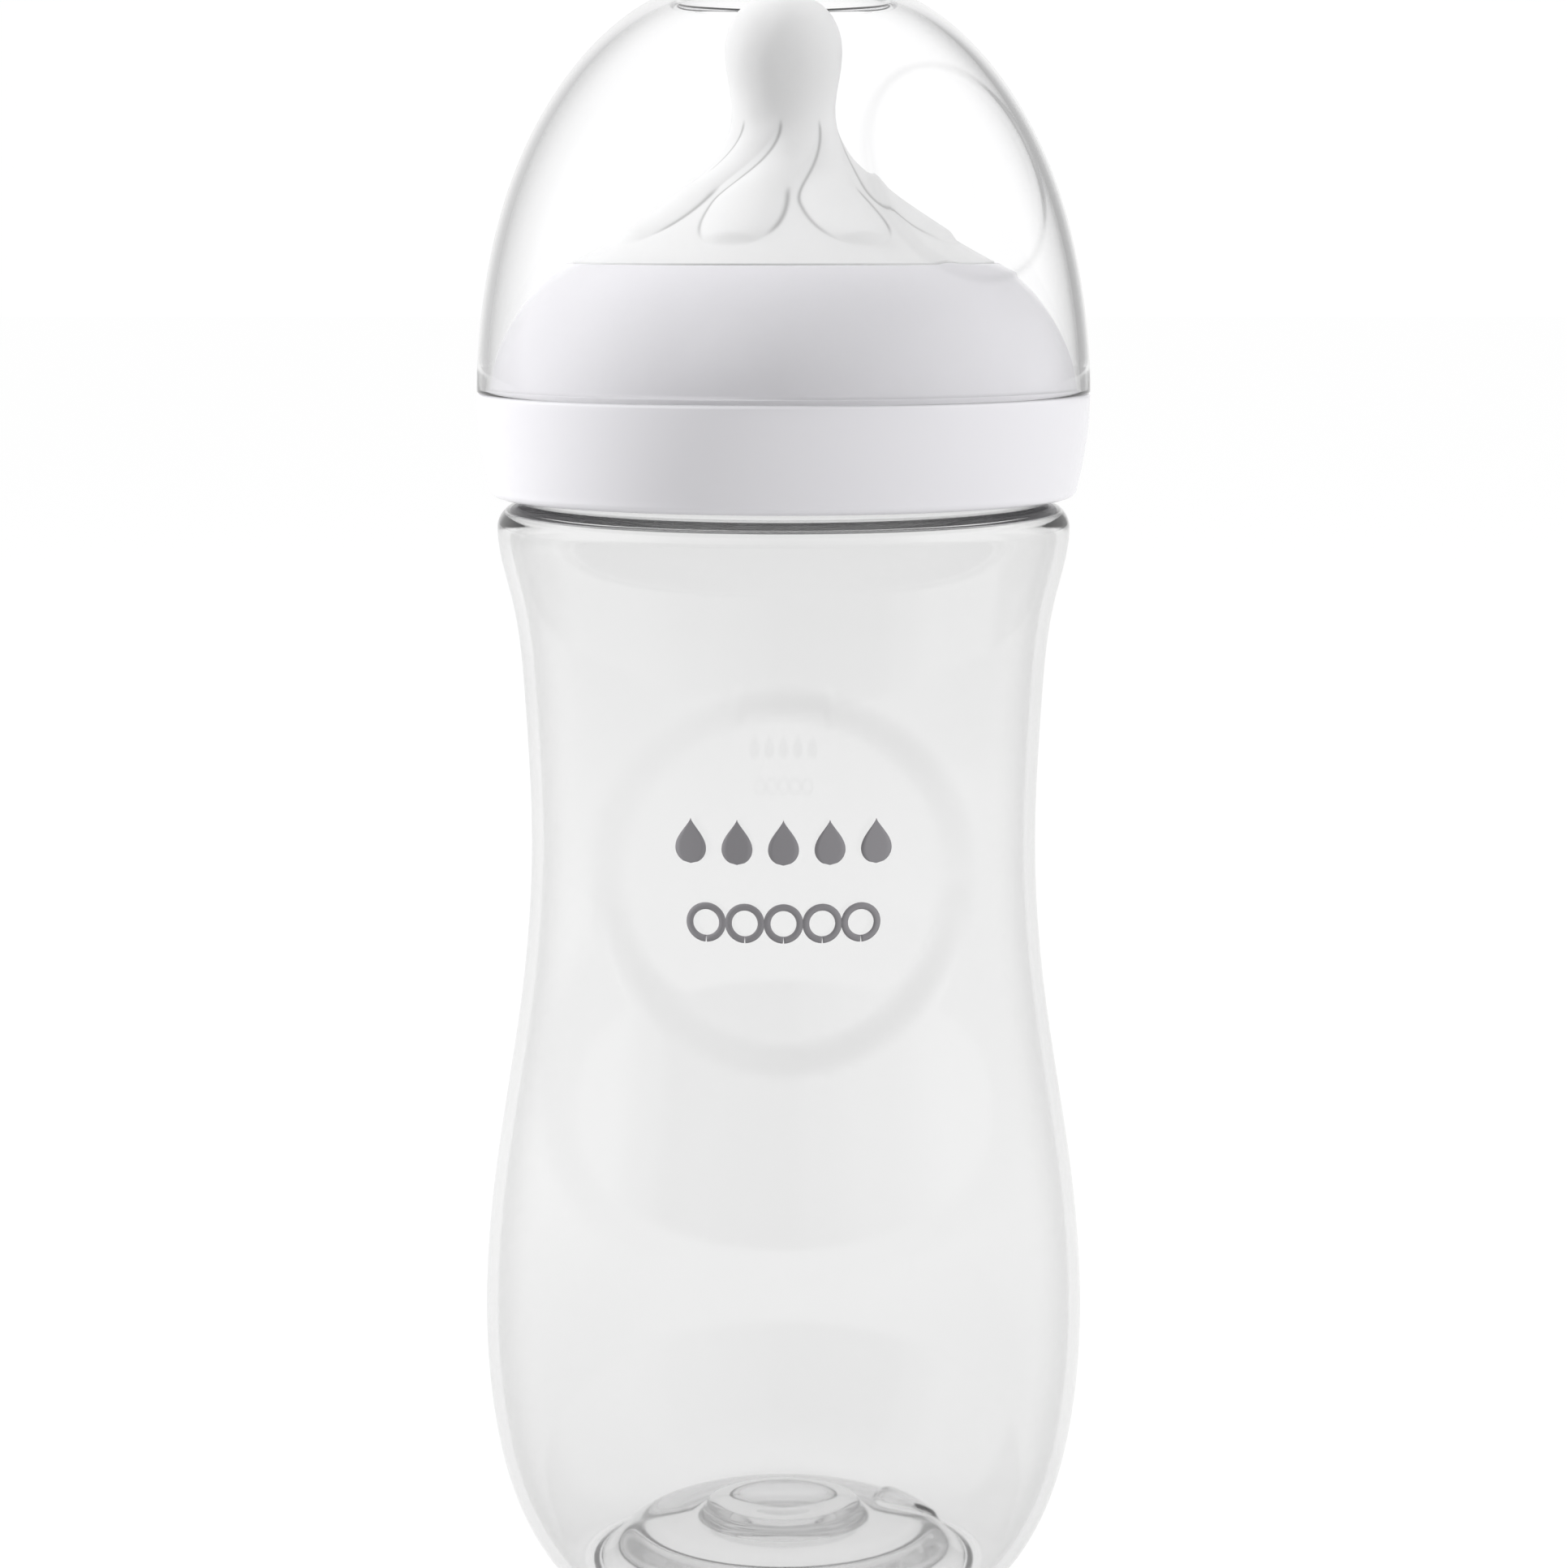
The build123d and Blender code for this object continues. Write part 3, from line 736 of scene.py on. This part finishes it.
def make_mark(material):
    """A row of drops above a row of rings."""
    vertices, faces = [], []
    for k in range(-2, 3):
        ink_patch(drop_shape(k * DROP_SPACING, DROP_ROW, DROP_SIZE), vertices, faces)
        ink_patch(ring_shape(k * RING_SPACING, RING_ROW, RING_SIZE, RING_HALF_LINE), vertices, faces)
    return make_object("front_mark", np.vstack(vertices), faces, material)


# ======================= stage =======================

def node_math(nodes, links, operation, first, second):
    """A maths node whose inputs may be sockets or numbers."""
    node = nodes.new("ShaderNodeMath")
    node.operation = operation
    for socket, value in zip(node.inputs, (first, second)):
        if isinstance(value, (int, float)):
            socket.default_value = value
        else:
            links.new(value, socket)
    return node.outputs[0]


def multiply_add(nodes, links, socket, factor, addend):
    """A socket times a number, plus a number."""
    result = node_math(nodes, links, "MULTIPLY_ADD", socket, factor)
    result.node.inputs[2].default_value = addend
    return result


def node_ramp(nodes, links, socket, stops):
    """A smooth ramp through (position, brightness) stops. Positions run from 0 to 1."""
    ramp = nodes.new("ShaderNodeValToRGB")
    ramp.color_ramp.interpolation = "EASE"
    elements = ramp.color_ramp.elements
    while len(elements) < len(stops):
        elements.new(0.5)
    for element, (position, brightness) in zip(elements, stops):
        element.position = position
        element.color = (brightness, brightness, brightness, 1)
    links.new(socket, ramp.inputs["Fac"])
    return ramp.outputs["Color"]


# Brightness round the room against azimuth in degrees: 0 is behind the camera, positive to the right.
ROOM = [
    (-180, 1.05), (-167, 1.0), (-157, 0.66), (-122, 0.64), (-113, 1.25), (-76, 1.25),
    (-58, 0.75), (-46, 0.35), (2, 0.2), (12, 0.4), (40, 0.7), (74, 1.25), (110, 1.25),
    (136, 0.62), (150, 0.5), (160, 0.5), (167, 1.0), (180, 1.05),
]
CEILING = 1.2


def room_light(nodes, links, x, y):
    """Brightness of the room in the direction (x, y) from the object."""
    azimuth = node_math(nodes, links, "ARCTAN2", x, node_math(nodes, links, "MULTIPLY", y, -1.0))
    share = multiply_add(nodes, links, azimuth, 0.5 / pi, 0.5)
    return node_ramp(nodes, links, share, [(angle / 360 + 0.5, value) for angle, value in ROOM])


def make_world():
    """Soft studio light: brighter behind, at both sides and above than in front."""
    world = bpy.data.worlds.new("studio")
    world.use_nodes = True
    bpy.context.scene.world = world
    nodes, links = world.node_tree.nodes, world.node_tree.links
    place = nodes.new("ShaderNodeTexCoord")
    split = nodes.new("ShaderNodeSeparateXYZ")
    links.new(place.outputs["Generated"], split.inputs["Vector"])
    upward = nodes.new("ShaderNodeMapRange")
    upward.interpolation_type = "SMOOTHSTEP"
    upward.inputs["From Min"].default_value = 0.4
    upward.inputs["From Max"].default_value = 0.9
    links.new(split.outputs["Z"], upward.inputs["Value"])
    mix = nodes.new("ShaderNodeMix")
    mix.data_type = "RGBA"
    links.new(upward.outputs["Result"], mix.inputs["Factor"])
    links.new(room_light(nodes, links, split.outputs["X"], split.outputs["Y"]), mix.inputs["A"])
    mix.inputs["B"].default_value = (CEILING, CEILING, CEILING, 1)
    links.new(mix.outputs["Result"], nodes["Background"].inputs["Color"])


def make_floor():
    """A plain pale floor that glows a little, evenly."""
    size = 6.0
    mesh = bpy.data.meshes.new("floor")
    corners = [(-size, -size, 0), (size, -size, 0), (size, size, 0), (-size, size, 0)]
    mesh.from_pydata(corners, [], [(0, 1, 2, 3)])
    floor = bpy.data.objects.new("floor", mesh)
    bpy.context.scene.collection.objects.link(floor)
    material, shader = new_material("floor_paper", (0.15, 0.15, 0.15), 0.9, 1.3)
    shader.inputs["Specular IOR Level"].default_value = 0
    shader.inputs["Emission Color"].default_value = (1, 1, 1, 1)
    shader.inputs["Emission Strength"].default_value = 0.84
    vary(material, shader, "Roughness", 30, 0.85, 0.95)
    mesh.materials.append(material)


def make_light(name, place, aim, size, watts):
    """A soft lamp that isn't itself seen in the clear walls."""
    light = bpy.data.lights.new(name, "AREA")
    light.shape = "RECTANGLE"
    light.size, light.size_y = size
    light.energy = watts
    obj = bpy.data.objects.new(name, light)
    obj.location = place
    direction = Vector(aim) - Vector(place)
    obj.rotation_euler = direction.to_track_quat("-Z", "Y").to_euler()
    obj.visible_camera = False
    obj.visible_glossy = False
    obj.visible_transmission = False
    bpy.context.scene.collection.objects.link(obj)


def make_camera():
    """Level with the base of the cap's dome and looking slightly down, close to a 90 mm lens."""
    camera = bpy.data.cameras.new("camera")
    camera.lens = 91.3
    camera.clip_start = 0.01
    obj = bpy.data.objects.new("camera", camera)
    obj.location = (0, -0.458, 0.1596)
    obj.rotation_euler = (radians(90 - 8.12), 0, 0)
    bpy.context.scene.collection.objects.link(obj)
    bpy.context.scene.camera = obj


# ======================= assembly =======================

make_camera()
make_world()
make_floor()
make_light("left_box", (-0.8, 0.14, 0.55), (0, 0, 0.13), (0.16, 0.5), 9.6)
make_light("right_box", (0.7, -0.35, 0.4), (0, 0, 0.13), (0.3, 0.6), 3.4)

bottle_plastic = clear_plastic("bottle_plastic", (0.91, 0.91, 0.91), 1.47, 0.035, 34, 0.62)
cap_plastic = clear_plastic("cap_plastic", (0.985, 0.985, 0.987), 1.22, 0.02, 0, 0.68)
PIECES = [
    (make_bottle(bottle_plastic), "bottle_body", "bottle", "bottle_clear"),
    (make_teat(silicone("teat_silicone")), "teat_body", "teat", "silicone"),
    (make_ring(white_plastic("ring_plastic")), "ring_body", "screw_ring", "ring_white"),
    (make_cap(cap_plastic), "cap_body", "dome_cap", "cap_clear"),
]
for piece, body, node, slot in PIECES:
    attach(piece, body)
    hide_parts(node)

mark = make_mark(print_ink("grey_ink"))
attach(mark, "bottle_body")

# Enough bounces for light to find its way out of the clear walls.
bounces = bpy.context.scene.cycles
bounces.max_bounces = 32
bounces.glossy_bounces = 24
bounces.transmission_bounces = 32
bounces.transparent_max_bounces = 32
bpy.context.scene.view_settings.view_transform = "Standard"
bpy.context.scene.view_settings.look = "None"
